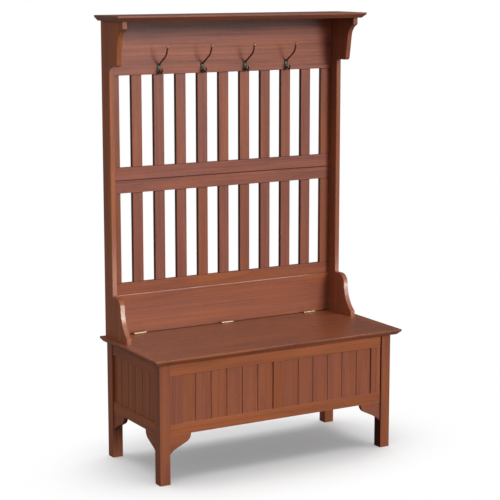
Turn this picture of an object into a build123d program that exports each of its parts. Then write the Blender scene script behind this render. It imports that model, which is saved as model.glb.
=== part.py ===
from build123d import *
import os

# Hall tree with a storage bench: a slatted coat rack standing on a bench with a hinged seat lid.
# Millimetres. X runs to the right, Y to the back and Z up.
# The origin is on the floor, under the middle of the seat.

# Overall sizes
total_height = 1630.0
seat_height = 459.0
seat_width = 1030.0
seat_depth = 463.0
crown_depth = 200.0
seat_end_overhang = 24.0
crown_end_overhang = 26.0

# Seat and crown boards: a square lip over a 45 degree bevel on the front and both ends
seat_thickness = 20.0
crown_thickness = 20.0
edge_lip = 6.0
lip_round = 2.0

# Bench legs and frames
leg_end_setback = 28.0
leg_setback = 33.0
leg_size = 41.0
leg_round = 2.5
frame_recess = 5.0
frame_thickness = 20.0
top_rail_height = 47.0
bottom_rail_height = 40.0
bottom_rail_lift = 176.5
stile_width = 42.0
muntin_width = 44.0
rail_tenon_length = 14.0
rail_tenon_thickness = 8.0
rail_tenon_shoulder = 6.0
stile_tenon_length = 10.0
edge_ease = 1.0

# Panels, floor and corner brackets
panel_thickness = 8.0
panel_recess = 6.0
panel_tongue = 7.0
boards_per_panel = 6
bead_width = 4.0
floor_thickness = 10.0
floor_tongue = 6.0
floor_lift = 12.0
bracket_length = 86.0
bracket_drop = 72.0
bracket_shoulder = (62.0, 33.0)
bracket_neck = (26.0, 50.5)
bracket_thickness = 17.0
bracket_setback = 1.0

# Seat lid and its hinges
lid_side_gap = 1.2
hinge_line_depth = 40.5
hinge_gap = 1.2
hinge_end_margin = 102.0
hinge_length = 50.0
leaf_thickness = 1.5
leaf_height = 16.0
leaf_play = 0.2
barrel_radius = 3.5
barrel_lift = 0.3
pin_radius = 1.5
pin_press_clearance = 0.02
pin_running_clearance = 0.05
knuckle_gap = 0.4

# Side boards of the coat rack
side_thickness = 19.0
stem_depth = 65.0
side_ease = 1.5
arm_height = 158.0
arm_depth = 130.0
arm_corner_radius = 36.0
toe_depth = 181.5
toe_height = 20.0
toe_round = 5.0
corbel_height = 160.0
corbel_depth = 178.0
corbel_fascia = 25.0
corbel_waist_depth = 139.5
corbel_waist_drop = 70.0
corbel_foot_depth = 127.0
corbel_foot_radius = 12.0

# Rails and slats of the coat rack
hook_rail_height = 197.0
mid_board_height = 47.0
foot_rail_height = 43.0
back_board_height = 149.0
rack_rail_thickness = 19.0
back_board_thickness = 23.0
rack_tenon_length = 8.0
rack_tenon_thickness = 6.0
rack_tenon_shoulder = 5.0
joint_chamfer = 1.5
slats_per_row = 9
slat_width = 41.5
slat_thickness = 17.0
slat_round = 2.0
slat_tenon_length = 8.0
slat_tenon_thickness = 8.0
slat_tenon_shoulder = 6.0

# Double coat hooks
hooked_slats = (2, 4, 6, 8)
plate_width = 16.0
plate_height = 38.0
plate_thickness = 4.0
plate_chamfer = 1.5
plate_clearance = 1.0
hook_radius = 3.0
upper_root_height = 33.0
upper_knee = (60.5, 71.5)
upper_tip = (69.0, 101.0)
upper_bend_radius = 42.0
upper_ball_radius = 5.0
lower_root_height = 12.0
lower_knee = (20.0, 1.0)
lower_tip = (28.0, 20.0)
lower_bend_radius = 9.0
lower_ball_radius = 4.5

# Places worked out from the sizes
rear = seat_depth / 2
front = -rear
bench_top = seat_height - seat_thickness
crown_under = total_height - crown_thickness
leg_spread = seat_width - 2 * leg_end_setback
leg_outer = leg_spread / 2
leg_inner = leg_outer - leg_size
leg_front = front + leg_setback
front_leg_back = leg_front + leg_size
rear_leg_front = rear - leg_size
top_rail_under = bench_top - top_rail_height
bottom_rail_top = bottom_rail_lift + bottom_rail_height
rack_width = seat_width - 2 * seat_end_overhang
crown_width = rack_width + 2 * crown_end_overhang
rack_outer = rack_width / 2
rack_inner = rack_outer - side_thickness
rail_face = rear - rack_rail_thickness
slat_face = rear - (rack_rail_thickness + slat_thickness) / 2
hinge_y = rear - hinge_line_depth
hinge_z = seat_height + barrel_radius + barrel_lift
hinge_reach = rack_inner - hinge_end_margin
hinge_offsets = (-hinge_reach, 0.0, hinge_reach)
hook_rail_under = crown_under - hook_rail_height
back_board_top = seat_height + back_board_height
foot_rail_top = back_board_top + foot_rail_height
slat_opening = (hook_rail_under - foot_rail_top) / 2 - mid_board_height
mid_rail_under = foot_rail_top + slat_opening
mid_joint = mid_rail_under + mid_board_height
mid_rail_top = mid_joint + mid_board_height


def block(x, y, z):
    """A box given by its low and high places along X, Y and Z."""
    size = [high - low for low, high in (x, y, z)]
    middle = [(low + high) / 2 for low, high in (x, y, z)]
    return Pos(*middle) * Box(*size)


def mirrored(piece):
    """The same piece on the other side of the middle plane."""
    return mirror(piece, about=Plane.YZ)


def cut_by(piece, tools):
    """The piece with the room that each of the other pieces takes up cut out of it."""
    for tool in tools:
        piece = piece - tool
    return piece


def long_edges(piece, axis):
    """The edges of a plain block that run along one axis."""
    return piece.edges().filter_by(axis)


def exposed_edges(board, across, seats):
    """The edges round both faces of a board, which is thin along one axis, that lie on none of its seats."""
    edges = board.edges().filter_by(across, reverse=True)
    for axis, place in seats:
        edges = edges - edges.filter_by_position(axis, place, place)
    return edges


def moulded_board(width, y, top, thickness):
    """A board with a rounded square lip over a bevel on its front and both ends."""
    low, high = y
    bevel = thickness - edge_lip
    lip = block((-width / 2, width / 2), y, (top - edge_lip, top))
    front_and_ends = lip.edges().filter_by_position(Axis.Z, top, top).sort_by(Axis.Y)[:-1]
    lip = fillet(front_and_ends, lip_round)
    upper = Pos(0, (low + high) / 2, top - edge_lip) * Rectangle(width, high - low)
    lower = Pos(0, (low + bevel + high) / 2, top - thickness) * Rectangle(width - 2 * bevel, high - low - bevel)
    return lip + loft([lower, upper], ruled=True)


# Bench legs

def leg(y):
    """The right-hand leg whose low and high places along Y are given."""
    post = block((leg_inner, leg_outer), y, (0, bench_top))
    return fillet(long_edges(post, Axis.Z), leg_round)


# Bench rails

def rail_along_x(z, y):
    """A rail between two legs, with a tenon at each end."""
    beam = block((-leg_inner, leg_inner), y, z)
    beam = chamfer(long_edges(beam, Axis.X), edge_ease)
    reach = leg_inner + rail_tenon_length
    tenon_z = (z[0] + rail_tenon_shoulder, z[1] - rail_tenon_shoulder)
    middle = (y[0] + y[1]) / 2
    tenon_y = (middle - rail_tenon_thickness / 2, middle + rail_tenon_thickness / 2)
    return beam + block((-reach, reach), tenon_y, tenon_z)


def rail_along_y(z):
    """A right-hand rail between the front and rear legs, with a tenon at each end."""
    outer = leg_outer - frame_recess
    x = (outer - frame_thickness, outer)
    beam = block(x, (front_leg_back, rear_leg_front), z)
    beam = chamfer(long_edges(beam, Axis.Y), edge_ease)
    tenon_z = (z[0] + rail_tenon_shoulder, z[1] - rail_tenon_shoulder)
    middle = (x[0] + x[1]) / 2
    tenon_x = (middle - rail_tenon_thickness / 2, middle + rail_tenon_thickness / 2)
    tenon_y = (front_leg_back - rail_tenon_length, rear_leg_front + rail_tenon_length)
    return beam + block(tenon_x, tenon_y, tenon_z)


def upright(x, y):
    """A stile or muntin between the front rails, with a tenon at each end."""
    post = block(x, y, (bottom_rail_top, top_rail_under))
    post = chamfer(long_edges(post, Axis.Z), edge_ease)
    middle = (y[0] + y[1]) / 2
    tenon_x = (x[0] + rail_tenon_shoulder, x[1] - rail_tenon_shoulder)
    tenon_y = (middle - rail_tenon_thickness / 2, middle + rail_tenon_thickness / 2)
    tenon_z = (bottom_rail_top - stile_tenon_length, top_rail_under + stile_tenon_length)
    return post + block(tenon_x, tenon_y, tenon_z)


# Bead-board panels

panel_z = (bottom_rail_top - panel_tongue, top_rail_under + panel_tongue)


def bead_cutter():
    """A square bar on edge, which cuts a V groove as wide as the bead line."""
    side = bead_width / 2 ** 0.5
    height = panel_z[1] - panel_z[0]
    return Pos(0, 0, sum(panel_z) / 2) * Rot(0, 0, 45) * Box(side, side, height)


def front_panel(x, face):
    """A panel for the opening between two low and high places along X."""
    panel = block((x[0] - panel_tongue, x[1] + panel_tongue), (face, face + panel_thickness), panel_z)
    pitch = (x[1] - x[0]) / boards_per_panel
    lines = [Pos(x[0] + pitch * i, face, 0) * bead_cutter() for i in range(1, boards_per_panel)]
    return cut_by(panel, lines)


def side_panel():
    """The right-hand side panel, held by the rails and by both legs."""
    face = leg_outer - frame_recess - panel_recess
    y = (front_leg_back - panel_tongue, rear_leg_front + panel_tongue)
    panel = block((face - panel_thickness, face), y, panel_z)
    pitch = (rear_leg_front - front_leg_back) / boards_per_panel
    lines = [Pos(face, front_leg_back + pitch * i, 0) * bead_cutter() for i in range(1, boards_per_panel)]
    return cut_by(panel, lines)


# Corner brackets

def bracket():
    """A bracket in the corner between a leg and the rail over it, drawn along +X from the leg."""
    corner = (0, 0)
    rail_end = (bracket_length, 0)
    shoulder = (bracket_shoulder[0], -bracket_shoulder[1])
    neck = (bracket_neck[0], -bracket_neck[1])
    leg_end = (0, -bracket_drop)
    nose = TangentArc(rail_end, shoulder, tangent=(0, -1))
    slope = Line(shoulder, neck)
    heel = TangentArc(neck, leg_end, tangent=slope % 1)
    face = make_face([Line(corner, rail_end), nose, slope, heel, Line(leg_end, corner)])
    plate = extrude(Plane.XZ * face, amount=bracket_thickness / 2, both=True)
    seats = ((Axis.X, 0), (Axis.Z, 0))
    return chamfer(exposed_edges(plate, Axis.Y, seats), edge_ease)


# Coat rack side boards

def side_outline():
    """The outline of a side board in Y and Z, with its arm at the seat and its corbel at the crown."""
    arm_top = seat_height + arm_height
    stem_front = rear - stem_depth
    arm_front = rear - arm_depth
    toe_front = rear - toe_depth
    fascia_front = rear - corbel_depth
    corbel_under = crown_under - corbel_height

    heel = (rear, seat_height)
    toe = (toe_front, seat_height)
    instep = (toe_front, seat_height + toe_height)
    arm_bend = (arm_front, arm_top - arm_corner_radius)
    arm_flat = (arm_front + arm_corner_radius, arm_top)
    arm_root = (stem_front, arm_top)
    corbel_root = (stem_front, corbel_under)
    foot_flat = (rear - corbel_foot_depth + corbel_foot_radius, corbel_under)
    foot_bend = (rear - corbel_foot_depth, corbel_under + corbel_foot_radius)
    waist = (rear - corbel_waist_depth, crown_under - corbel_waist_drop)
    fascia_foot = (fascia_front, crown_under - corbel_fascia)
    fascia_top = (fascia_front, crown_under)
    top = (rear, crown_under)

    corbel_front = Line(foot_bend, waist)
    return make_face([
        Line(heel, toe),
        Line(toe, instep),
        TangentArc(arm_bend, instep, tangent=(0, -1)),
        TangentArc(arm_bend, arm_flat, tangent=(0, 1)),
        Line(arm_flat, arm_root),
        Line(arm_root, corbel_root),
        Line(corbel_root, foot_flat),
        TangentArc(foot_flat, foot_bend, tangent=(-1, 0)),
        corbel_front,
        TangentArc(waist, fascia_foot, tangent=corbel_front % 1),
        Line(fascia_foot, fascia_top),
        Line(fascia_top, top),
        Line(top, heel),
    ])


def side_board():
    """The right-hand side board, with its exposed edges eased."""
    outline = side_outline()
    instep = outline.vertices().sort_by_distance((rear - toe_depth, seat_height + toe_height))[0]
    outline = fillet(instep, toe_round)
    board = extrude(Plane.YZ.offset(rack_inner) * outline, amount=side_thickness)
    seats = ((Axis.Z, seat_height), (Axis.Z, crown_under), (Axis.Y, rear))
    return chamfer(exposed_edges(board, Axis.X, seats), side_ease)


# Coat rack rails and slats

def rack_rail(z, thickness):
    """A board between the side boards, flush at the back, with a tenon at each end."""
    face = rear - thickness
    board = block((-rack_inner, rack_inner), (face, rear), z)
    front_edges = long_edges(board, Axis.X).sort_by(Axis.Y)[:2]
    board = chamfer(front_edges, joint_chamfer)
    reach = rack_inner + rack_tenon_length
    middle = rear - thickness / 2
    tenon_y = (middle - rack_tenon_thickness / 2, middle + rack_tenon_thickness / 2)
    tenon_z = (z[0] + rack_tenon_shoulder, z[1] - rack_tenon_shoulder)
    return board + block((-reach, reach), tenon_y, tenon_z)


slat_pitch = (2 * rack_inner - slat_width) / (slats_per_row + 1)


def slat_middle(index):
    """The place along X of a slat's middle, where 0 and the last are the end strips."""
    return -rack_inner + slat_width / 2 + slat_pitch * index


def slat(index, z):
    """A slat that fills an opening, with a tenon at each end in the rails over and under it."""
    middle = slat_middle(index)
    x = (middle - slat_width / 2, middle + slat_width / 2)
    y = (slat_face, slat_face + slat_thickness)
    strip = fillet(long_edges(block(x, y, z), Axis.Z), slat_round)
    tenon_x = (x[0] + slat_tenon_shoulder, x[1] - slat_tenon_shoulder)
    centre = (y[0] + y[1]) / 2
    tenon_y = (centre - slat_tenon_thickness / 2, centre + slat_tenon_thickness / 2)
    tenon_z = (z[0] - slat_tenon_length, z[1] + slat_tenon_length)
    return strip + block(tenon_x, tenon_y, tenon_z)


# Coat hooks

def hook_arm(points, bend_radius, ball_radius):
    """A round arm along three points in Y and Z, with a ball on its end."""
    path = Plane.YZ * FilletPolyline(*points, radius=bend_radius)
    section = Plane(origin=path @ 0, z_dir=path % 0) * Circle(hook_radius)
    return sweep(section, path=path) + Pos(*(path @ 1)) * Sphere(ball_radius)


def coat_hook(x):
    """A double coat hook whose plate lies on the hook rail at one place along X."""
    foot = hook_rail_under + plate_clearance
    plate_face = rail_face - plate_thickness
    plate = Plane.XZ * Rot(0, 0, 90) * SlotOverall(plate_height, plate_width)
    plate = extrude(Pos(0, rail_face, foot + plate_height / 2) * plate, amount=plate_thickness)
    plate = chamfer(plate.faces().sort_by(Axis.Y)[0].edges(), plate_chamfer)

    def arm(root_height, knee, tip, bend_radius, ball_radius):
        inside = plate_face + plate_thickness / 2
        points = [(inside, foot + root_height)]
        points += [(plate_face - reach, foot + rise) for reach, rise in (knee, tip)]
        return hook_arm(points, bend_radius, ball_radius)

    upper = arm(upper_root_height, upper_knee, upper_tip, upper_bend_radius, upper_ball_radius)
    lower = arm(lower_root_height, lower_knee, lower_tip, lower_bend_radius, lower_ball_radius)
    return Pos(x, 0, 0) * (plate + upper + lower)


# Hinges

knuckle_length = (hinge_length - 2 * knuckle_gap) / 3
leaf_foot = seat_height - leaf_height
leaf_inset = leaf_thickness + leaf_play / 2 - hinge_gap / 2


def barrel(x, radius):
    """A round bar along the hinge line between two places along X."""
    middle = ((x[0] + x[1]) / 2, hinge_y, hinge_z)
    return Pos(*middle) * Rot(0, 90, 0) * Cylinder(radius, x[1] - x[0])


def leaf(x, side, knuckles, bore):
    """A hinge leaf that stands in the lid's joint, on the +1 (fixed) or -1 (lid) side of it."""
    near = hinge_y + side * leaf_play / 2
    far = near + side * leaf_thickness
    y = (min(near, far), max(near, far))
    piece = block((x - hinge_length / 2, x + hinge_length / 2), y, (leaf_foot, seat_height))
    for low, high in knuckles:
        span = (x + low, x + high)
        piece = piece + block(span, y, (leaf_foot, hinge_z)) + barrel(span, barrel_radius)
    return piece - barrel((x - hinge_length, x + hinge_length), bore)


half = hinge_length / 2
outer_knuckles = ((-half, -half + knuckle_length), (half - knuckle_length, half))
middle_knuckle = ((-knuckle_length / 2, knuckle_length / 2),)


def fixed_leaf(x):
    return leaf(x, 1, outer_knuckles, pin_radius + pin_press_clearance)


def lid_leaf(x):
    return leaf(x, -1, middle_knuckle, pin_radius + pin_running_clearance)


def hinge_pin(x):
    return barrel((x - half, x + half), pin_radius)


# Build the bench frame

frame_front = leg_front + frame_recess
front_y = (frame_front, frame_front + frame_thickness)
rear_y = (rear - frame_recess - frame_thickness, rear - frame_recess)
top_z = (top_rail_under, bench_top)
bottom_z = (bottom_rail_lift, bottom_rail_top)

front_top_rail = rail_along_x(top_z, front_y)
front_bottom_rail = rail_along_x(bottom_z, front_y)
rear_top_rail = rail_along_x(top_z, rear_y)
rear_bottom_rail = rail_along_x(bottom_z, rear_y)
right_top_rail = rail_along_y(top_z)
right_bottom_rail = rail_along_y(bottom_z)

opening = (muntin_width / 2, leg_inner - stile_width)
right_stile = upright((leg_inner - stile_width, leg_inner), front_y)
muntin = upright((-muntin_width / 2, muntin_width / 2), front_y)
right_front_panel = front_panel(opening, frame_front + panel_recess)
right_side_panel = side_panel()

rear_panel_face = rear - frame_recess - (frame_thickness + panel_thickness) / 2
rear_panel = block(
    (-leg_inner - panel_tongue, leg_inner + panel_tongue),
    (rear_panel_face, rear_panel_face + panel_thickness),
    panel_z,
)

side_inner = leg_outer - frame_recess - frame_thickness
floor_z = (bottom_rail_lift + floor_lift, bottom_rail_lift + floor_lift + floor_thickness)
floor_panel = block(
    (-side_inner - floor_tongue, side_inner + floor_tongue),
    (front_y[1] - floor_tongue, rear_y[0] + floor_tongue),
    floor_z,
)

right_front_leg = leg((leg_front, front_leg_back))
right_rear_leg = leg((rear_leg_front, rear))
legs = [right_front_leg, mirrored(right_front_leg), right_rear_leg, mirrored(right_rear_leg)]
floor_panel = cut_by(floor_panel, legs)

right_stile = cut_by(right_stile, [right_front_panel])
muntin = cut_by(muntin, [right_front_panel, mirrored(right_front_panel)])
front_infill = [right_stile, mirrored(right_stile), muntin, right_front_panel, mirrored(right_front_panel)]
front_top_rail = cut_by(front_top_rail, front_infill)
front_bottom_rail = cut_by(front_bottom_rail, front_infill + [floor_panel])
rear_top_rail = cut_by(rear_top_rail, [rear_panel])
rear_bottom_rail = cut_by(rear_bottom_rail, [rear_panel, floor_panel])
right_top_rail = cut_by(right_top_rail, [right_side_panel])
right_bottom_rail = cut_by(right_bottom_rail, [right_side_panel, floor_panel])

side_infill = [right_top_rail, right_bottom_rail, right_side_panel]
right_front_leg = cut_by(right_front_leg, [front_top_rail, front_bottom_rail] + side_infill)
right_rear_leg = cut_by(right_rear_leg, [rear_top_rail, rear_bottom_rail, rear_panel] + side_infill)

# Build the corner brackets

front_bracket_y = frame_front + bracket_setback + bracket_thickness / 2
side_bracket_x = leg_outer - frame_recess - bracket_setback - bracket_thickness / 2
right_front_bracket = Pos(leg_inner, front_bracket_y, bottom_rail_lift) * Rot(0, 0, 180) * bracket()
right_side_front_bracket = Pos(side_bracket_x, front_leg_back, bottom_rail_lift) * Rot(0, 0, 90) * bracket()
right_side_rear_bracket = Pos(side_bracket_x, rear_leg_front, bottom_rail_lift) * Rot(0, 0, -90) * bracket()

# Build the seat

seat = moulded_board(seat_width, (front, rear), seat_height, seat_thickness)
seat_z = (bench_top, seat_height)
lid_edge = rack_inner - lid_side_gap
fixed_leaves = [fixed_leaf(x) for x in hinge_offsets]
lid_leaves = [lid_leaf(x) for x in hinge_offsets]
right_seat_end = seat & block((rack_inner, seat_width / 2), (front, rear), seat_z)
seat_rear_strip = seat & block((-rack_inner, rack_inner), (hinge_y + hinge_gap / 2, rear), seat_z)
seat_rear_strip = cut_by(seat_rear_strip, fixed_leaves)
seat_lid = seat & block((-lid_edge, lid_edge), (front, hinge_y - hinge_gap / 2), seat_z)
seat_lid = cut_by(seat_lid, lid_leaves)

# Build the coat rack

crown_shelf = moulded_board(crown_width, (rear - crown_depth, rear), total_height, crown_thickness)
hook_rail = rack_rail((hook_rail_under, crown_under), rack_rail_thickness)
upper_mid_rail = rack_rail((mid_joint, mid_rail_top), rack_rail_thickness)
lower_mid_rail = rack_rail((mid_rail_under, mid_joint), rack_rail_thickness)
foot_rail = rack_rail((back_board_top, foot_rail_top), rack_rail_thickness)
back_board = rack_rail((seat_height, back_board_top), back_board_thickness)

upper_row = [slat(i, (mid_rail_top, hook_rail_under)) for i in range(slats_per_row + 2)]
lower_row = [slat(i, (foot_rail_top, mid_rail_under)) for i in range(slats_per_row + 2)]
hook_rail = cut_by(hook_rail, upper_row)
upper_mid_rail = cut_by(upper_mid_rail, upper_row)
lower_mid_rail = cut_by(lower_mid_rail, lower_row)
foot_rail = cut_by(foot_rail, lower_row)
rack_rails = [hook_rail, upper_mid_rail, lower_mid_rail, foot_rail, back_board]
right_side_board = cut_by(side_board(), rack_rails)

# Name every piece

single_pieces = {
    "front_top_rail": front_top_rail,
    "front_bottom_rail": front_bottom_rail,
    "front_centre_muntin": muntin,
    "rear_top_rail": rear_top_rail,
    "rear_bottom_rail": rear_bottom_rail,
    "rear_panel": rear_panel,
    "box_floor": floor_panel,
    "seat_rear_strip": seat_rear_strip,
    "seat_lid": seat_lid,
    "crown_shelf": crown_shelf,
    "hook_rail": hook_rail,
    "upper_mid_rail": upper_mid_rail,
    "lower_mid_rail": lower_mid_rail,
    "foot_rail": foot_rail,
    "back_board": back_board,
    "upper_left_end_strip": upper_row[0],
    "upper_right_end_strip": upper_row[-1],
    "lower_left_end_strip": lower_row[0],
    "lower_right_end_strip": lower_row[-1],
    "upper_slats": Compound(upper_row[1:-1]),
    "lower_slats": Compound(lower_row[1:-1]),
}
right_pieces = {
    "front_{}_leg": right_front_leg,
    "rear_{}_leg": right_rear_leg,
    "front_{}_stile": right_stile,
    "front_{}_panel": right_front_panel,
    "front_{}_bracket": right_front_bracket,
    "{}_side_top_rail": right_top_rail,
    "{}_side_bottom_rail": right_bottom_rail,
    "{}_side_panel": right_side_panel,
    "{}_side_front_bracket": right_side_front_bracket,
    "{}_side_rear_bracket": right_side_rear_bracket,
    "{}_seat_end": right_seat_end,
    "{}_side_board": right_side_board,
}
hinge_names = ("left", "middle", "right")

pieces = dict(single_pieces)
for name, piece in right_pieces.items():
    pieces[name.format("right")] = piece
    pieces[name.format("left")] = mirrored(piece)
for number, index in enumerate(hooked_slats, 1):
    pieces[f"coat_hook_{number}"] = coat_hook(slat_middle(index))
for name, x, fixed, moving in zip(hinge_names, hinge_offsets, fixed_leaves, lid_leaves):
    pieces[f"{name}_hinge_fixed_leaf"] = fixed
    pieces[f"{name}_hinge_lid_leaf"] = moving
    pieces[f"{name}_hinge_pin"] = hinge_pin(x)

os.makedirs("parts", exist_ok=True)
for name, piece in pieces.items():
    export_step(piece, f"parts/{name}.step")
print(len(pieces), "pieces written")
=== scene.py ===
# %% [markdown]
# # A hall tree bench, dressed for its portrait
#
# The joinery of this hall tree comes from a CAD frame: legs, rails, slats, lid and hooks, each at its
# real size and in its real place. This lesson gives every board its stained finish, adds the small
# fasteners, and sets up a plain studio around it.

# %% Load the frame
import math

import bmesh
import bpy
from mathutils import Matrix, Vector


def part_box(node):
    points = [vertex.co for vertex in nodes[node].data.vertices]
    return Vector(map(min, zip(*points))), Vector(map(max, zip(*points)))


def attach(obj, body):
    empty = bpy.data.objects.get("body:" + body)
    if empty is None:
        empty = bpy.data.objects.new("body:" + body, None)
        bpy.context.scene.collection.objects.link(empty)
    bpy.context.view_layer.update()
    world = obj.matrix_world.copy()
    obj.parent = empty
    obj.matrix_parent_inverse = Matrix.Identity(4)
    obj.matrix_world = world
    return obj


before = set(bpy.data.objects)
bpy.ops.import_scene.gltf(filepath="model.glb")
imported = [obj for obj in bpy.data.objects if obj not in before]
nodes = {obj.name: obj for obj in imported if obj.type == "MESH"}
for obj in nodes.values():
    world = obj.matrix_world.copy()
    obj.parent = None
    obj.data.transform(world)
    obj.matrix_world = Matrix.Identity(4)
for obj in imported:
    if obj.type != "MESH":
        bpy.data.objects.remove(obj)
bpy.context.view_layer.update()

# %% [markdown]
# ## Two helpers for materials
#
# Colours are given as sRGB hex values, but shaders work in linear light, so one function turns
# the first into the second. A second function adds a node, sets its options and fills its inputs, which
# keeps a node tree readable as a short list.

# %% Colour and node helpers
MM = 0.001


def linear(hex_colour):
    """An sRGB hex colour as the linear RGBA that a shader expects."""
    channels = [int(hex_colour[i:i + 2], 16) / 255 for i in (1, 3, 5)]
    return [c / 12.92 if c <= 0.04045 else ((c + 0.055) / 1.055) ** 2.4 for c in channels] + [1.0]


def add_node(tree, kind, options=None, inputs=None):
    """Adds a node. An input takes a plain value, or a link from another node's output socket."""
    node = tree.nodes.new(kind)
    for name, value in (options or {}).items():
        setattr(node, name, value)
    for name, value in (inputs or {}).items():
        if isinstance(value, bpy.types.NodeSocket):
            tree.links.new(value, node.inputs[name])
        else:
            node.inputs[name].default_value = value
    return node


def new_material(name):
    """An empty node material with its output node."""
    material = bpy.data.materials.new(name)
    material.use_nodes = True
    material.node_tree.nodes.clear()
    return material, add_node(material.node_tree, "ShaderNodeOutputMaterial")


print("White in linear light is", linear("#FFFFFF")[:3])

# %% [markdown]
# ## Stained and lacquered hardwood
#
# The boards are a close-grained hardwood, planed, wiped with a red-brown stain and sprayed with satin
# lacquer. Broad drifts go from rosy to orange brown where the stain took differently, finer streaks and
# growth lines run with the grain, and short pores stay a little rough. A photograph of wood could be
# wrapped round each board, but it would repeat, so each pattern here is a noise stretched along the
# board and sized from real millimetres.
#
# Dark stain gathers in the joint between the mid rails and in the grooves between panel boards. Darker
# colour is also painted where shade falls: on the board faces that look along a row, in those grooves,
# at the slats' ends where they meet the rails, and as the shadow of the right front leg on its stile.
# Stain is thinnest where hands and sanding have rubbed a corner. The front edges of the arms shine
# more than the rest, as wood does where hands rest, so they get a thin polished coat. Boards that share
# one CAD piece, such as the slats, draw a lot by their place in the row, so that no two look alike.

# %% Colours and sizes of the wood
ROSY_BROWN = "#8D5344"
ORANGE_BROWN = "#945331"
GROWTH_LINE = "#6A3421"
PORE = "#47200F"
# A dark red-brown for gathered stain, and for painted shade on edges, in grooves, at slat ends and beside
# the right leg.
STAIN_AND_SHADE_DARK = "#4A2212"
RUBBED_CORNER = "#B9805F"
AXES = "XYZ"
# Each pattern has its length and width in mm, its own place in the noise, its detail and its roughness.
# Real pores are a tenth as wide as this. They are drawn coarser so that they show in the picture.
GRAIN_PATTERNS = {
    "drift": (320, 60, 0, 2.0, 0.5),
    "streak": (700, 24, 1, 6.0, 0.72),
    "fibre": (600, 6.5, 2, 2.0, 0.6),
    "growth": (1500, 48, 3, 1.0, 0.5),
    "pores": (34, 1.1, 5, 2.0, 0.5),
}
TONE_DEPTHS = {"drift": 0.15, "streak": 0.21, "fibre": 0.2}
GROWTH_LINES_PER_SIZE = 8
# How strongly each mark shows, from 0 to 1.
GROWTH_LINE_SHARE = 0.22
PORE_SHARE = 0.45
RUBBED_SHARE = 0.7
# Painted shade on board edges, and stain with painted shade in the grooves.
EDGE_SHADE_SHARE = 0.85
GROOVE_STAIN_AND_SHADE_SHARE = 0.8
# Dark lines: stain in the mid rails' joint, painted shade and shadow where other parts meet.
JOINT_SHARE = 0.95
# Widths of the marks, in mm.
GROOVE_HALF_WIDTH = 2.4
JOINT_HALF_WIDTH = 2.6
CORNER_WIDTH = 2.5
PORE_DEPTH = 0.2
CHANCE_TONE = 0.05
# How far apart two boards lie in the noise: at most, in one row, and from one seed to the next.
ROW_SHIFT = (9.0, 9.0, 9.0)
SEED_SHIFT = (1.0, 1.7, 2.3)
LACQUER_ROUGHNESS = (0.26, 0.38)
# Fresh lacquer is nearer 1.5. The lower index keeps the sheen as soft as it is on the object.
LACQUER_IOR = 1.36
# The polished part of an arm's front edge, and how softly it ends, in mm.
ARM_POLISH = 125
POLISH_FADE = 30
POLISH_ROUGHNESS = 0.3
print("Stain from", ROSY_BROWN, "to", ORANGE_BROWN)


# %% The figure of a board
def grain_figure(tree, place, grain, seed):
    """The noise patterns of one board, stretched along its grain, by name."""
    figure = {}
    for name, (along, across, shift, detail, roughness) in GRAIN_PATTERNS.items():
        offset = seed + shift
        stretched = add_node(tree, "ShaderNodeMapping", inputs={
            "Vector": place, "Location": [offset * step for step in SEED_SHIFT],
            "Scale": [1 / ((along if axis == grain else across) * MM) for axis in AXES]})
        noise = add_node(tree, "ShaderNodeTexNoise", inputs={
            "Vector": stretched.outputs[0], "Scale": 1.0, "Detail": detail, "Roughness": roughness})
        figure[name] = noise.outputs["Fac"]
    return figure


def figured_colour(tree, figure, lean, tone, figuring):
    """The stain's colour over one board's figure.

    lean goes from rosy to orange, tone makes it lighter and figuring says how strongly the grain shows.
    """
    drift = add_node(tree, "ShaderNodeMapRange", {"clamp": False}, {
        "Value": figure["drift"], "From Min": 0.15, "From Max": 0.85})
    blend = add_node(tree, "ShaderNodeMath", {"operation": "ADD", "use_clamp": True}, {
        0: drift.outputs[0], 1: lean})
    stain = add_node(tree, "ShaderNodeMix", {"data_type": "RGBA"}, {
        "Factor": blend.outputs[0], 6: linear(ROSY_BROWN), 7: linear(ORANGE_BROWN)})
    contours = add_node(tree, "ShaderNodeMath", {"operation": "MULTIPLY"}, {
        0: figure["growth"], 1: GROWTH_LINES_PER_SIZE})
    bands = add_node(tree, "ShaderNodeMath", {"operation": "FRACT"}, {0: contours.outputs[0]})
    line = add_node(tree, "ShaderNodeMapRange", inputs={
        "Value": bands.outputs[0], "From Min": 0.4, "From Max": 1.0,
        "To Min": 0.0, "To Max": GROWTH_LINE_SHARE})
    lined = add_node(tree, "ShaderNodeMix", {"data_type": "RGBA"}, {
        "Factor": line.outputs[0], 6: stain.outputs[2], 7: linear(GROWTH_LINE)})
    pore = add_node(tree, "ShaderNodeMapRange", inputs={
        "Value": figure["pores"], "From Min": 0.58, "From Max": 0.72,
        "To Min": 0.0, "To Max": PORE_SHARE})
    pored = add_node(tree, "ShaderNodeMix", {"data_type": "RGBA"}, {
        "Factor": pore.outputs[0], 6: lined.outputs[2], 7: linear(PORE)})
    for name, depth in TONE_DEPTHS.items():
        uneven = add_node(tree, "ShaderNodeMapRange", inputs={
            "Value": figure[name], "From Min": 0.3, "From Max": 0.7,
            "To Min": 1 - depth * figuring, "To Max": 1 + depth * figuring})
        tone = add_node(tree, "ShaderNodeMath", {"operation": "MULTIPLY"}, {
            0: uneven.outputs[0], 1: tone}).outputs[0]
    return add_node(tree, "ShaderNodeHueSaturation", inputs={
        "Value": tone, "Color": pored.outputs[2]}).outputs[0]


print(len(GRAIN_PATTERNS), "patterns, the finest", GRAIN_PATTERNS["pores"][1], "mm wide")


# %% Where the stain gathers and where it is rubbed
def darken_with_stain_and_shade(tree, colour, amount):
    """The colour darkened as much as amount says, for gathered stain and for painted shade."""
    return add_node(tree, "ShaderNodeMix", {"data_type": "RGBA"}, {
        "Factor": amount, 6: colour, 7: linear(STAIN_AND_SHADE_DARK)}).outputs[2]


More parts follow.
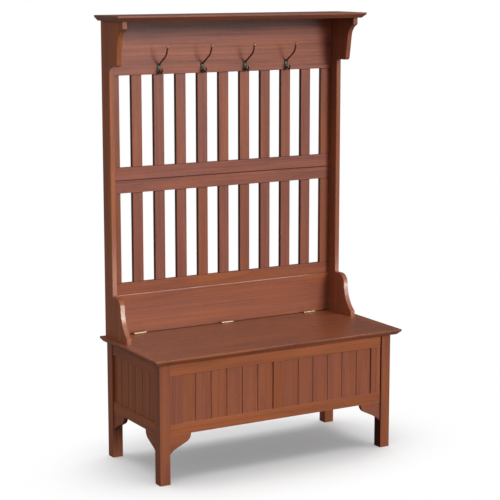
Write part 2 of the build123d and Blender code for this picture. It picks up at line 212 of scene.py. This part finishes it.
def rubbed_corners(tree, colour, figure):
    """The colour with its corners rubbed lighter in patches. The Bevel node finds the corners."""
    softened = add_node(tree, "ShaderNodeBevel", {"samples": 4}, {"Radius": CORNER_WIDTH * MM})
    surface = add_node(tree, "ShaderNodeNewGeometry")
    agree = add_node(tree, "ShaderNodeVectorMath", {"operation": "DOT_PRODUCT"}, {
        0: softened.outputs[0], 1: surface.outputs["Normal"]})
    corner = add_node(tree, "ShaderNodeMapRange", inputs={
        "Value": agree.outputs["Value"], "From Min": 0.98, "From Max": 0.8,
        "To Min": 0.0, "To Max": RUBBED_SHARE})
    patchy = add_node(tree, "ShaderNodeMath", {"operation": "MULTIPLY"}, {
        0: corner.outputs[0], 1: figure["drift"]})
    return add_node(tree, "ShaderNodeMix", {"data_type": "RGBA"}, {
        "Factor": patchy.outputs[0], 6: colour, 7: linear(RUBBED_CORNER)}).outputs[2]


def row_stain_and_shade(tree, colour, steps, axis, pitch):
    """The colour of boards in a row, with painted shade on their faces that look along the row, and stain
    with painted shade in the grooves between them.
    """
    surface = add_node(tree, "ShaderNodeNewGeometry")
    facing = add_node(tree, "ShaderNodeSeparateXYZ", inputs={0: surface.outputs["True Normal"]})
    sideways = add_node(tree, "ShaderNodeMath", {"operation": "ABSOLUTE"}, {0: facing.outputs[axis]})
    edge = add_node(tree, "ShaderNodeMapRange", inputs={
        "Value": sideways.outputs[0], "From Min": 0.75, "From Max": 0.95,
        "To Min": 0.0, "To Max": EDGE_SHADE_SHARE})
    middle = add_node(tree, "ShaderNodeMath", {"operation": "PINGPONG"}, {0: steps, 1: 0.5})
    groove = add_node(tree, "ShaderNodeMapRange", inputs={
        "Value": middle.outputs[0], "From Min": GROOVE_HALF_WIDTH * MM / pitch, "From Max": 0.0,
        "To Min": 0.0, "To Max": GROOVE_STAIN_AND_SHADE_SHARE})
    return darken_with_stain_and_shade(tree, darken_with_stain_and_shade(tree, colour, edge.outputs[0]), groove.outputs[0])


def dark_joint_line(tree, colour, distances, axis, joint):
    """The colour with a dark line at one place along an axis, for stain held in a joint and for painted
    shade where parts meet.
    """
    offset = add_node(tree, "ShaderNodeMath", {"operation": "SUBTRACT"}, {0: distances[axis], 1: joint})
    away = add_node(tree, "ShaderNodeMath", {"operation": "ABSOLUTE"}, {0: offset.outputs[0]})
    near = add_node(tree, "ShaderNodeMapRange", inputs={
        "Value": away.outputs[0], "To Min": 0.0, "To Max": JOINT_SHARE,
        "From Min": JOINT_HALF_WIDTH * MM, "From Max": 0.4 * JOINT_HALF_WIDTH * MM})
    return darken_with_stain_and_shade(tree, colour, near.outputs[0])


def hand_polish(tree, height, low, high):
    """Where hands have polished a board's front edge, which faces -Y, fading out at two heights."""
    surface = add_node(tree, "ShaderNodeNewGeometry")
    facing = add_node(tree, "ShaderNodeSeparateXYZ", inputs={0: surface.outputs["Normal"]})
    amount = add_node(tree, "ShaderNodeMapRange", inputs={
        "Value": facing.outputs[1], "From Min": -0.5, "From Max": -0.9})
    for end, inner in ((low, low + POLISH_FADE * MM), (high, high - POLISH_FADE * MM)):
        within = add_node(tree, "ShaderNodeMapRange", inputs={
            "Value": height, "From Min": end, "From Max": inner})
        amount = add_node(tree, "ShaderNodeMath", {"operation": "MULTIPLY"}, {
            0: amount.outputs[0], 1: within.outputs[0]})
    return amount.outputs[0]


print("Stain gathers", JOINT_HALF_WIDTH, "mm each side of a joint")


# %% A board's lot in its row
def drawn_lot(tree, place, steps, lean, tone, spread):
    """The lean, tone and place in the noise that each board of a row draws by its number."""
    number = add_node(tree, "ShaderNodeMath", {"operation": "FLOOR"}, {0: steps})
    chance = add_node(tree, "ShaderNodeTexWhiteNoise", {"noise_dimensions": "1D"}, {
        "W": number.outputs[0]})
    drawn = add_node(tree, "ShaderNodeSeparateColor", inputs={0: chance.outputs["Color"]})
    leaning = add_node(tree, "ShaderNodeMapRange", inputs={
        "Value": drawn.outputs[0], "To Min": lean - spread, "To Max": lean + spread})
    toned = add_node(tree, "ShaderNodeMapRange", inputs={
        "Value": drawn.outputs[1], "To Min": tone - CHANCE_TONE, "To Max": tone + CHANCE_TONE})
    shifted = add_node(tree, "ShaderNodeVectorMath", {"operation": "MULTIPLY_ADD"}, {
        0: chance.outputs["Color"], 1: ROW_SHIFT, 2: place})
    return leaning.outputs[0], toned.outputs[0], shifted.outputs["Vector"]


print("Tones in a row differ by up to", 2 * CHANCE_TONE)


# %% The wood material
def stained_wood(name, grain, seed, tint, row=None, dark_lines=(), polished=None):
    """A stained hardwood with its grain along one axis.

    tint is its lean from rosy to orange, its tone and how strongly its grain shows.
    row says along which axis several boards lie side by side, where the first starts, how far apart they
    are, which lots they draw and how far those change the lean; its boards get painted shade on their
    edges and stain with painted shade in their grooves. dark_lines are the axis and place of each dark
    line: stain in the mid rails' joint, painted shade where the slats meet their rails and a painted
    shadow beside the right front leg. polished are the heights between which hands polish its front edge.
    """
    lean, tone, figuring = tint
    material, output = new_material(name)
    tree = material.node_tree
    place = add_node(tree, "ShaderNodeTexCoord").outputs["Object"]
    split = add_node(tree, "ShaderNodeSeparateXYZ", inputs={0: place})
    shifted = place
    if row:
        axis, first, pitch, lots, spread = row
        steps = add_node(tree, "ShaderNodeMath", {"operation": "MULTIPLY_ADD"}, {
            0: split.outputs[axis], 1: 1 / pitch, 2: lots - first / pitch}).outputs[0]
        lean, tone, shifted = drawn_lot(tree, place, steps, lean, tone, spread)

    figure = grain_figure(tree, shifted, grain, seed)
    colour = rubbed_corners(tree, figured_colour(tree, figure, lean, tone, figuring), figure)
    # Painted shade on the row's board edges, and stain with painted shade in its grooves.
    if row:
        colour = row_stain_and_shade(tree, colour, steps, axis, pitch)
    # Dark lines: stain at the mid rails' joint, painted shade and shadow where other parts meet.
    for axis, joint in dark_lines:
        colour = dark_joint_line(tree, colour, split.outputs, axis, joint)

    # Satin lacquer gives a soft sheen that breaks up slightly over the open pores.
    gloss = add_node(tree, "ShaderNodeMapRange", inputs={
        "Value": figure["pores"], "From Min": 0.3, "From Max": 0.75,
        "To Min": LACQUER_ROUGHNESS[0], "To Max": LACQUER_ROUGHNESS[1]})
    dents = add_node(tree, "ShaderNodeBump", {"invert": True}, {
        "Strength": 0.35, "Distance": PORE_DEPTH * MM, "Height": figure["pores"]})
    shader = add_node(tree, "ShaderNodeBsdfPrincipled", inputs={
        "Base Color": colour, "Roughness": gloss.outputs[0], "IOR": LACQUER_IOR,
        "Normal": dents.outputs[0]})
    if polished:
        tree.links.new(hand_polish(tree, split.outputs[2], *polished), shader.inputs["Coat Weight"])
        shader.inputs["Coat Roughness"].default_value = POLISH_ROUGHNESS
    tree.links.new(shader.outputs[0], output.inputs["Surface"])
    return material


print("Lacquer of roughness", LACQUER_ROUGHNESS[0], "to", LACQUER_ROUGHNESS[1])

# %% [markdown]
# ## Which board gets which wood
#
# A joiner lays the grain along each board's length: up the uprights, back along the side rails and
# across the rest. Boards from different planks take the stain differently, so the ones that stand out
# get their own lean and tone, and the rest share a plain one. A few tints paint light and shade as well:
# the seat's rear strip is darkened as painted shade, and the hook rail and the left side pieces are
# lightened to paint light on them.

# %% Rows of boards and their joints
SLATS = 9
BOARDS_PER_PANEL = 6
SLAT_SPREAD = 0.3
PANEL_SPREAD = 0.08
# These lots put the rosier and the darker slats where the object has them.
UPPER_SLAT_LOTS = 3602
LOWER_SLAT_LOTS = 3186
slat_low, slat_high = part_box("upper_slats")
strip_low, strip_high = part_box("upper_left_end_strip")
slat_pitch = (slat_high.x - slat_low.x - (strip_high.x - strip_low.x)) / (SLATS - 1)
# Each place in the row starts in the gap before its slat.
first_slat = slat_low.x - slat_pitch / 4
stile_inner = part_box("front_right_stile")[0].x
muntin_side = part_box("front_centre_muntin")[1].x
front_pitch = (stile_inner - muntin_side) / BOARDS_PER_PANEL
leg_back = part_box("front_right_leg")[1].y
side_pitch = (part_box("rear_right_leg")[0].y - leg_back) / BOARDS_PER_PANEL
board_rows = {
    "upper_slats": (0, first_slat, slat_pitch, UPPER_SLAT_LOTS, SLAT_SPREAD),
    "lower_slats": (0, first_slat, slat_pitch, LOWER_SLAT_LOTS, SLAT_SPREAD),
    "front_left_panel": (0, -stile_inner, front_pitch, 0, PANEL_SPREAD),
    "front_right_panel": (0, muntin_side, front_pitch, 0, PANEL_SPREAD),
    "left_side_panel": (1, leg_back, side_pitch, 0, PANEL_SPREAD),
    "right_side_panel": (1, leg_back, side_pitch, 0, PANEL_SPREAD),
}

mid_joint = (2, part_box("upper_mid_rail")[0].z)
# The dark line where the right front leg meets its stile is a painted shadow of the proud leg.
leg_shadow_line = (0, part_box("front_right_leg")[0].x)
# The dark lines at the slats' ends, where they meet the rails, are painted shade.
upper_slat_end_shade = ((2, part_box("upper_mid_rail")[1].z), (2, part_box("hook_rail")[0].z))
lower_slat_end_shade = ((2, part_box("foot_rail")[1].z), (2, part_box("lower_mid_rail")[0].z))
board_dark_lines = {
    "upper_mid_rail": (mid_joint,),
    "lower_mid_rail": (mid_joint,),
    "front_right_leg": (leg_shadow_line,),
    "front_right_stile": (leg_shadow_line,),
}
for level, slat_end_shade in {"upper": upper_slat_end_shade, "lower": lower_slat_end_shade}.items():
    for piece in ("slats", "left_end_strip", "right_end_strip"):
        board_dark_lines[f"{level}_{piece}"] = slat_end_shade
print("Slats", round(slat_pitch / MM, 2), "mm apart, panel boards", round(front_pitch / MM, 2), "mm wide")

# %% Stain every board
UPRIGHT_WORDS = ("_leg", "stile", "muntin", "slats", "end_strip", "side_board", "panel")
SIDEWAYS_ENDINGS = ("side_top_rail", "side_bottom_rail", "side_front_bracket", "side_rear_bracket")
# A tint is the lean from rosy to orange, the tone and how strongly the grain shows.
PLAIN_TINT = (0.1, 0.97, 0.6)
board_tints = {
    "crown_shelf": (-0.1, 0.88, 0.6),
    # The hook rail is lighter and rosier, partly as painted light: the pale sheen and fill it has under
    # the crown.
    "hook_rail": (-0.25, 1.13, 1.0),
    "upper_slats": (-0.3, 1.02, 0.6),
    "lower_slats": (-0.3, 0.99, 0.6),
    "upper_mid_rail": (-0.4, 1.03, 0.8),
    "lower_mid_rail": (-0.4, 1.03, 0.8),
    "foot_rail": (0.15, 1.0, 0.6),
    "back_board": (0.05, 1.02, 0.5),
    # The rear strip is darkened as painted shade: the shaded gap between the lid and the back board.
    "seat_rear_strip": (0.0, 0.4, 0.6),
    "seat_lid": (0.2, 0.94, 1.1),
    "right_seat_end": (0.2, 1.0, 0.6),
    # The left side pieces are lighter and more orange, partly as painted fill light on their shaded
    # faces.
    "left_side_board": (0.42, 1.08, 0.6),
    "left_side_panel": (0.5, 1.1, 0.6),
    "left_side_top_rail": (0.4, 1.05, 0.6),
    "left_side_bottom_rail": (0.4, 1.05, 0.6),
    "right_side_board": (0.1, 1.02, 0.6),
    "front_top_rail": (0.65, 1.15, 0.6),
    "front_bottom_rail": (0.4, 1.08, 0.6),
    "front_centre_muntin": (0.4, 0.93, 0.6),
    "front_left_leg": (0.1, 0.91, 0.6),
    "front_left_stile": (0.05, 0.99, 0.6),
    "front_left_panel": (0.1, 1.01, 0.4),
    "front_right_panel": (0.05, 0.99, 0.4),
    "front_right_leg": (0.3, 0.93, 0.6),
}


def grain_of(name):
    """The axis of a board's grain: up the uprights, back along the side rails, else across."""
    if any(word in name for word in UPRIGHT_WORDS):
        return "Z"
    if name.endswith(SIDEWAYS_ENDINGS):
        return "Y"
    return "X"


arm_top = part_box("back_board")[1].z
arm_edge = (arm_top - ARM_POLISH * MM, arm_top)
wooden = [name for name in sorted(nodes) if "hinge" not in name and not name.startswith("coat_hook")]
for seed, name in enumerate(wooden):
    wood = stained_wood(
        f"stained_lacquered_hardwood_{name}", grain_of(name), seed, board_tints.get(name, PLAIN_TINT),
        board_rows.get(name), board_dark_lines.get(name, ()), arm_edge if "side_board" in name else None)
    nodes[name].data.materials.clear()
    nodes[name].data.materials.append(wood)
print(len(wooden), "boards stained")

# %% [markdown]
# ## Metal fittings
#
# The double hooks are cast bronze under a dark patina. Coats have rubbed the two balls bright, and the
# flat plate, which nobody touches, has stayed almost black. Painting that wear by hand would need an
# unwrapped mesh, so the material measures how far a point is from each ball instead.
#
# The hinges are brass, brushed along the barrel and clear lacquered, which leaves a broad dull glint.

# %% Colours and sizes of the metals
BRONZE_ARM = "#774631"
BRONZE_PLATE = "#34332D"
BRONZE_RUBBED = "#C2AE8C"
TURNED_PIT = "#5A554B"
TURNED_FACE = "#938C7C"
BRASS_SCRATCH = "#A08A72"
BRASS_FACE = "#BEA588"
# Sizes in mm. The scratches are drawn coarser than real brushing, so that they show from near.
HANDLED_PATCH = 6
SAND_GRAIN = 0.8
SAND_DEPTH = 0.1
TURNED_PIT_SIZE = 0.7
SCRATCH_LENGTH = 12
SCRATCH_WIDTH = 0.3
# A ball is bare within the first distance of its middle and keeps its patina beyond the second.
BALL_WEAR = (4, 7)
PLATE_FADE = 6
UPPER_BALL_SHARE = 1.0
LOWER_BALL_SHARE = 0.45
print("Bronze from", BRONZE_PLATE, "to", BRONZE_RUBBED)

# %% Where the hook's plate and balls are
PLATE_THICKNESS = 4 * MM
UPPER_BALL_RADIUS = 5 * MM
LOWER_BALL_REACH = 28 * MM
LOWER_BALL_HEIGHT = 20 * MM
hook_low, hook_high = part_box("coat_hook_1")
plate_face = hook_high.y - PLATE_THICKNESS
upper_ball = (0.0, hook_low.y + UPPER_BALL_RADIUS, hook_high.z - UPPER_BALL_RADIUS)
lower_ball = (0.0, plate_face - LOWER_BALL_REACH, hook_low.z + LOWER_BALL_HEIGHT)
print("Hooks reach", round((plate_face - hook_low.y) / MM, 1), "mm from their plates")


# %% Cast bronze
def antique_bronze():
    """Cast bronze with a dark patina, rubbed bright on the two balls that coats slide over."""
    # A red-brown arm between a grey-black plate and pale balls, all softly shiny and a little grainy.
    material, output = new_material("antique_bronze_cast")
    tree = material.node_tree
    place = add_node(tree, "ShaderNodeTexCoord").outputs["Object"]
    handling = add_node(tree, "ShaderNodeTexNoise", inputs={
        "Vector": place, "Scale": 1 / (HANDLED_PATCH * MM), "Detail": 4.0})
    rubbed = add_node(tree, "ShaderNodeMapRange", inputs={
        "Value": handling.outputs["Fac"], "From Min": 0.5, "From Max": 0.75, "To Max": 0.3}).outputs[0]
    # The balls' places leave out X, so that one material serves all four hooks.
    profile = add_node(tree, "ShaderNodeVectorMath", {"operation": "MULTIPLY"}, {
        0: place, 1: (0.0, 1.0, 1.0)})
    for ball, share in ((upper_ball, UPPER_BALL_SHARE), (lower_ball, LOWER_BALL_SHARE)):
        away = add_node(tree, "ShaderNodeVectorMath", {"operation": "DISTANCE"}, {
            0: profile.outputs[0], 1: ball})
        bare = add_node(tree, "ShaderNodeMapRange", inputs={
            "Value": away.outputs["Value"], "From Min": BALL_WEAR[0] * MM, "From Max": BALL_WEAR[1] * MM,
            "To Min": share, "To Max": 0.0})
        rubbed = add_node(tree, "ShaderNodeMath", {"operation": "MAXIMUM"}, {
            0: rubbed, 1: bare.outputs[0]}).outputs[0]
    split = add_node(tree, "ShaderNodeSeparateXYZ", inputs={0: place})
    near_plate = add_node(tree, "ShaderNodeMapRange", inputs={
        "Value": split.outputs["Y"], "From Min": plate_face - PLATE_FADE * MM, "From Max": plate_face})
    patina = add_node(tree, "ShaderNodeMix", {"data_type": "RGBA"}, {
        "Factor": near_plate.outputs[0], 6: linear(BRONZE_ARM), 7: linear(BRONZE_PLATE)})
    colour = add_node(tree, "ShaderNodeMix", {"data_type": "RGBA"}, {
        "Factor": rubbed, 6: patina.outputs[2], 7: linear(BRONZE_RUBBED)})
    sand = add_node(tree, "ShaderNodeTexNoise", inputs={"Vector": place, "Scale": 1 / (SAND_GRAIN * MM)})
    bump = add_node(tree, "ShaderNodeBump", inputs={
        "Strength": 0.2, "Distance": SAND_DEPTH * MM, "Height": sand.outputs["Fac"]})
    shader = add_node(tree, "ShaderNodeBsdfPrincipled", inputs={
        "Base Color": colour.outputs[2], "Metallic": 0.9, "Roughness": 0.4, "Normal": bump.outputs[0]})
    tree.links.new(shader.outputs[0], output.inputs["Surface"])
    return material


bronze = antique_bronze()
print("Made", bronze.name)


# %% Turned bronze and brushed brass
def turned_bronze():
    """Bronze turned on a lathe and kept bare by the screwdriver, with dark left in its small pits."""
    # Greyer and brighter than the plate round it, so that each screw head shows as a dull spark.
    material, output = new_material("bare_bronze_turned")
    tree = material.node_tree
    place = add_node(tree, "ShaderNodeTexCoord").outputs["Object"]
    pits = add_node(tree, "ShaderNodeTexNoise", inputs={
        "Vector": place, "Scale": 1 / (TURNED_PIT_SIZE * MM), "Detail": 3.0})
    colour = add_node(tree, "ShaderNodeMix", {"data_type": "RGBA"}, {
        "Factor": pits.outputs["Fac"], 6: linear(TURNED_PIT), 7: linear(TURNED_FACE)})
    shader = add_node(tree, "ShaderNodeBsdfPrincipled", inputs={
        "Base Color": colour.outputs[2], "Metallic": 1.0, "Roughness": 0.32})
    tree.links.new(shader.outputs[0], output.inputs["Surface"])
    return material


def satin_brass():
    """Brass brushed along the hinge line and dulled by its lacquer."""
    # A pale beige bar with a broad soft glint, streaked along its length.
    material, output = new_material("satin_brass_brushed")
    tree = material.node_tree
    place = add_node(tree, "ShaderNodeTexCoord").outputs["Object"]
    across = 1 / (SCRATCH_WIDTH * MM)
    brushed = add_node(tree, "ShaderNodeMapping", inputs={
        "Vector": place, "Scale": (1 / (SCRATCH_LENGTH * MM), across, across)})
    scratches = add_node(tree, "ShaderNodeTexNoise", inputs={"Vector": brushed.outputs[0], "Scale": 1.0})
    colour = add_node(tree, "ShaderNodeMix", {"data_type": "RGBA"}, {
        "Factor": scratches.outputs["Fac"], 6: linear(BRASS_SCRATCH), 7: linear(BRASS_FACE)})
    shader = add_node(tree, "ShaderNodeBsdfPrincipled", inputs={
        "Base Color": colour.outputs[2], "Metallic": 1.0, "Roughness": 0.5})
    tree.links.new(shader.outputs[0], output.inputs["Surface"])
    return material


bare_bronze = turned_bronze()
brass = satin_brass()
for name, node in nodes.items():
    if name not in wooden:
        node.data.materials.clear()
        node.data.materials.append(bronze if name.startswith("coat_hook") else brass)
print("Hooks in", bronze.name, "and hinges in", brass.name)

# %% [markdown]
# ## Screws on the hooks
#
# Two raised-head screws hold each hook to its rail. On a real one the head is forged from wire, domed
# by the die and struck with a cross for the driver. Half a sphere would make a quick stand-in, but it
# has no rim. Here a short cylinder gets its dome by insetting its front face a few times, each time a
# little further out, and two crossing bars cut the recess.

# %% Model one screw
SCREW_SIDES = 32
SCREW_RADIUS = 2.6 * MM
SCREW_RIM = 0.5 * MM
DOME_STEPS = ((0.4 * MM, 0.45 * MM), (0.6 * MM, 0.3 * MM), (0.8 * MM, 0.1 * MM))
RECESS_SIZE = (3.2 * MM, 1.6 * MM, 0.8 * MM)
screw_front = -SCREW_RIM - sum(rise for inset, rise in DOME_STEPS)

bpy.ops.object.select_all(action="DESELECT")
bpy.ops.mesh.primitive_cylinder_add(vertices=SCREW_SIDES, radius=SCREW_RADIUS, depth=SCREW_RIM,
                                    location=(0, -SCREW_RIM / 2, 0), rotation=(math.radians(90), 0, 0))
screw = bpy.context.object
bpy.ops.object.transform_apply(location=True, rotation=True, scale=True)
bpy.ops.object.mode_set(mode="EDIT")
bpy.ops.mesh.select_mode(type="FACE")
bpy.ops.mesh.select_all(action="DESELECT")
shape = bmesh.from_edit_mesh(screw.data)
for face in shape.faces:
    face.select_set(face.normal.y < -0.9)
bmesh.update_edit_mesh(screw.data)
for inset, rise in DOME_STEPS:
    bpy.ops.mesh.inset(thickness=inset)
    bpy.ops.transform.translate(value=(0, -rise, 0))
bpy.ops.object.mode_set(mode="OBJECT")
print("Domed head standing", round(-screw_front / MM, 2), "mm proud")

# %% Strike the cross
for turn in (0, 90):
    bpy.ops.object.select_all(action="DESELECT")
    bpy.ops.mesh.primitive_cube_add(size=1, location=(0, screw_front, 0), scale=RECESS_SIZE,
                                    rotation=(0, math.radians(turn), 0))
    bar = bpy.context.object
    bpy.context.view_layer.objects.active = screw
    cut = screw.modifiers.new("cross_recess", "BOOLEAN")
    cut.operation = "DIFFERENCE"
    cut.object = bar
    bpy.ops.object.modifier_apply(modifier=cut.name)
    bpy.data.objects.remove(bar)
bpy.ops.object.select_all(action="DESELECT")
screw.select_set(True)
bpy.ops.object.shade_smooth_by_angle(angle=math.radians(30))
screw.data.materials.append(bare_bronze)
print("Screw head with", len(screw.data.polygons), "faces")

# %% [markdown]
# One screw is enough: the others are copies, each left at its own angle as a hand-driven screw is.
# The turn and the place go into each copy's mesh, so that every object sits at the origin like the
# CAD pieces.

# %% Drive two screws into each hook
HOOKS = 4
SCREW_HEIGHTS = {"lower": 4.2 * MM, "upper": 22.5 * MM}
SCREW_TURNS = (12, 67, 38, 81, 25, 54, 6, 73)
turns = iter(SCREW_TURNS)
for number in range(1, HOOKS + 1):
    low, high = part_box(f"coat_hook_{number}")
    for level, height in SCREW_HEIGHTS.items():
        bpy.ops.object.select_all(action="DESELECT")
        screw.select_set(True)
        bpy.context.view_layer.objects.active = screw
        bpy.ops.object.duplicate()
        copy = bpy.context.object
        copy.name = f"hook_{number}_{level}_screw"
        copy.rotation_euler.y = math.radians(next(turns))
        copy.location = ((low.x + high.x) / 2, plate_face, low.z + height)
        bpy.ops.object.transform_apply(location=True, rotation=True, scale=True)
        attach(copy, "stand")
bpy.data.objects.remove(screw)
print(len(SCREW_TURNS), "screws driven")

# %% [markdown]
# ## Studio floor
#
# The bench stands on white paper. Lit paper never comes out quite white, so the camera sees it mixed
# with pure white: a little near the legs, where the soft shadow has to stay, and wholly further out.
# An ellipse marks the change, wider along the bench than across it.
#
# To every other ray the paper is mid grey. White paper would throw a milky haze up the dark sides of
# the bench, which a studio stops with black card.

# %% Floor
FLOOR_SIZE = 40.0
LIT_PAPER = "#F4F4F4"
GREY_PAPER = "#686868"
WHITE = "#FFFFFF"
SHADOW_FILL = 0.22
SHADOW_ELLIPSE = (1.0, 1.75, 1.0)
SHADOW_FADE = (0.5, 1.01)
bpy.ops.object.select_all(action="DESELECT")
bpy.ops.mesh.primitive_plane_add(size=FLOOR_SIZE, location=(0, 0, 0))
floor = bpy.context.object
floor.name = "studio_floor"
material, output = new_material("matt_white_paper")
tree = material.node_tree
place = add_node(tree, "ShaderNodeTexCoord").outputs["Object"]
ellipse = add_node(tree, "ShaderNodeMapping", inputs={"Vector": place, "Scale": SHADOW_ELLIPSE})
distance = add_node(tree, "ShaderNodeVectorMath", {"operation": "LENGTH"}, {0: ellipse.outputs[0]})
far = add_node(tree, "ShaderNodeMapRange", {"interpolation_type": "SMOOTHSTEP"}, {
    "Value": distance.outputs["Value"], "From Min": SHADOW_FADE[0], "From Max": SHADOW_FADE[1],
    "To Min": SHADOW_FILL, "To Max": 1.0})
matt = add_node(tree, "ShaderNodeBsdfDiffuse", inputs={"Color": linear(LIT_PAPER)})
white = add_node(tree, "ShaderNodeEmission", inputs={"Color": linear(WHITE), "Strength": 1.0})
paper = add_node(tree, "ShaderNodeMixShader", inputs={
    0: far.outputs[0], 1: matt.outputs[0], 2: white.outputs[0]})
grey = add_node(tree, "ShaderNodeBsdfDiffuse", inputs={"Color": linear(GREY_PAPER)})
rays = add_node(tree, "ShaderNodeLightPath")
mix = add_node(tree, "ShaderNodeMixShader", inputs={
    0: rays.outputs["Is Camera Ray"], 1: grey.outputs[0], 2: paper.outputs[0]})
tree.links.new(mix.outputs[0], output.inputs["Surface"])
floor.data.materials.append(material)
print("Floor", FLOOR_SIZE, "m wide")

# %% [markdown]
# ## Surround
#
# The camera sees pure white all round, and reflections in wood and metal see white as well, but only
# from the front. Behind the bench the reflected wall is dim, as in a studio whose lamps all stand on
# the camera's side, so that the lacquer keeps its depth. What lights the bench is a weaker even glow.

# %% White surround
AMBIENT = 0.42
BACK_WALL = 0.13
# The reflected wall dims between these two, from -1 straight in front to 1 straight behind.
WALL_TURN = (-0.3, 0.5)
world = bpy.data.worlds.new("studio_surround")
bpy.context.scene.world = world
world.use_nodes = True
tree = world.node_tree
tree.nodes.clear()
rays = add_node(tree, "ShaderNodeLightPath")
mirrored = add_node(tree, "ShaderNodeMath", {"operation": "MAXIMUM"}, {
    0: rays.outputs["Is Glossy Ray"], 1: rays.outputs["Is Transmission Ray"]})
seen = add_node(tree, "ShaderNodeMath", {"operation": "MAXIMUM"}, {
    0: rays.outputs["Is Camera Ray"], 1: mirrored.outputs[0]})
aim = add_node(tree, "ShaderNodeTexCoord").outputs["Generated"]
split = add_node(tree, "ShaderNodeSeparateXYZ", inputs={0: aim})
wall = add_node(tree, "ShaderNodeMapRange", inputs={
    "Value": split.outputs["Y"], "From Min": WALL_TURN[0], "From Max": WALL_TURN[1],
    "To Min": 1.0, "To Max": BACK_WALL})
strength = add_node(tree, "ShaderNodeMath", {"operation": "MAXIMUM"}, {
    0: wall.outputs[0], 1: rays.outputs["Is Camera Ray"]})
glow = add_node(tree, "ShaderNodeBackground", inputs={"Color": linear(WHITE), "Strength": AMBIENT})
bright = add_node(tree, "ShaderNodeBackground", inputs={
    "Color": linear(WHITE), "Strength": strength.outputs[0]})
mix = add_node(tree, "ShaderNodeMixShader", inputs={
    0: seen.outputs[0], 1: glow.outputs[0], 2: bright.outputs[0]})
add_node(tree, "ShaderNodeOutputWorld", inputs={"Surface": mix.outputs[0]})
print("Surround glows at", AMBIENT)

# %% [markdown]
# ## Lamps
#
# A key lamp at the front right models the bench, a wide lamp overhead softens it and a faint one from
# the left opens the shaded sides. Area lamps would do as well, but a distant lamp keeps the same angle
# on every board. The floor has its own wide lamp and none of the others, so the tall rack throws no
# long shadow.


# %% Lamps
def distant_lamp(name, strength, spread, toward, lights=True, shines=True):
    """A lamp far away. toward is the direction from the object to it, and spread its width in degrees.

    A lamp that only shines stands for a reflector card, which shows as a highlight. One that only lights
    stands for a large pale wall, which is too even to mirror in the lacquer.
    """
    data = bpy.data.lights.new(name, "SUN")
    data.energy = strength
    data.angle = math.radians(spread)
    lamp = bpy.data.objects.new(name, data)
    lamp.rotation_euler = Vector(toward).to_track_quat("Z", "Y").to_euler()
    lamp.visible_diffuse = lights
    lamp.visible_glossy = shines
    bpy.context.scene.collection.objects.link(lamp)
    return lamp


bench_lamps = [
    distant_lamp("key_light", 2.1, 20, (0.280, -0.914, 0.292)),
    distant_lamp("overhead_light", 0.5, 50, (0.15, -0.25, 1.0)),
    distant_lamp("side_fill", 0.4, 10, (-1.0, 0.0, 0.25), shines=False),
    distant_lamp("rail_card", 0.25, 12, (0.36, -0.93, 0.03), lights=False),
]
floor_lamp = distant_lamp("floor_light", 2.3, 60, (0.03, 0.03, 1.0))
print("Lamps on the bench:", [lamp.name for lamp in bench_lamps])

# %% [markdown]
# Reflector cards show only as highlights: along the arms, on the rails, and on the rounded edges of the
# back board and seat. The card for the arms is low and near, so that it mirrors in their front edges and
# hardly in the uprights above. A small lamp could stand behind a mask instead, but light linking says
# more simply which boards a card reaches.

# %% Reflector cards
TOP_CARD_TOWARD = (0.42, -0.20, 0.88)
ARM_CARD_PLACE = (0.2, -0.45, 0.5)
ARM_CARD_SIZE = (1.3, 0.1)
ARM_CARD_FACING = (-0.48, 0.87, 0.15)
ARM_CARD_BEAM = 90
ARM_CARD_POWER = 1.5
card_data = bpy.data.lights.new("arm_card", "AREA")
card_data.shape = "RECTANGLE"
card_data.size, card_data.size_y = ARM_CARD_SIZE
card_data.spread = math.radians(ARM_CARD_BEAM)
card_data.energy = ARM_CARD_POWER
arm_card = bpy.data.objects.new("arm_card", card_data)
arm_card.location = ARM_CARD_PLACE
arm_card.rotation_euler = Vector(ARM_CARD_FACING).to_track_quat("-Z", "Y").to_euler()
arm_card.visible_camera = False
arm_card.visible_diffuse = False
bpy.context.scene.collection.objects.link(arm_card)
back_card = distant_lamp("back_card", 1.9, 16, TOP_CARD_TOWARD, lights=False)
seat_card = distant_lamp("seat_card", 0.8, 16, TOP_CARD_TOWARD, lights=False)
print("Arm card", ARM_CARD_SIZE[0], "m wide")


# %% What each lamp lights
def shine_on(lamp, receivers):
    """Lets the lamp reach only these objects."""
    group = bpy.data.collections.new(f"{lamp.name}_receivers")
    for receiver in receivers:
        group.objects.link(receiver)
    lamp.light_linking.receiver_collection = group


all_but_floor = bpy.data.collections.new("all_but_the_floor")
all_but_floor.objects.link(floor)
all_but_floor.collection_objects[0].light_linking.link_state = "EXCLUDE"
for lamp in bench_lamps:
    lamp.light_linking.receiver_collection = all_but_floor
shine_on(floor_lamp, [floor])
shine_on(arm_card, [nodes["left_side_board"], nodes["right_side_board"]])
shine_on(back_card, [nodes["back_board"]])
shine_on(seat_card, [nodes[name] for name in ("seat_lid", "left_seat_end", "right_seat_end")])

# %% [markdown]
# ## Camera
#
# The bench is seen from the front left and a little above its top, with a long lens that keeps the
# uprights almost parallel. A shorter lens from nearer would splay them.

# %% Camera and view
CAMERA_PLACE = (-2.8894, -4.9959, 1.7908)
CAMERA_YAW = 29.96
CAMERA_PITCH = -10.02
FOCAL_LENGTH = 114.5
SENSOR_WIDTH = 36.0
camera_data = bpy.data.cameras.new("camera")
camera_data.sensor_width = SENSOR_WIDTH
camera_data.lens = FOCAL_LENGTH
camera = bpy.data.objects.new("camera", camera_data)
camera.location = CAMERA_PLACE
camera.rotation_euler = (math.radians(90 + CAMERA_PITCH), 0, math.radians(-CAMERA_YAW))
bpy.context.scene.collection.objects.link(camera)
bpy.context.scene.camera = camera
bpy.context.scene.view_settings.view_transform = "Standard"
print("Camera", round(camera.location.length, 2), "m from the origin")
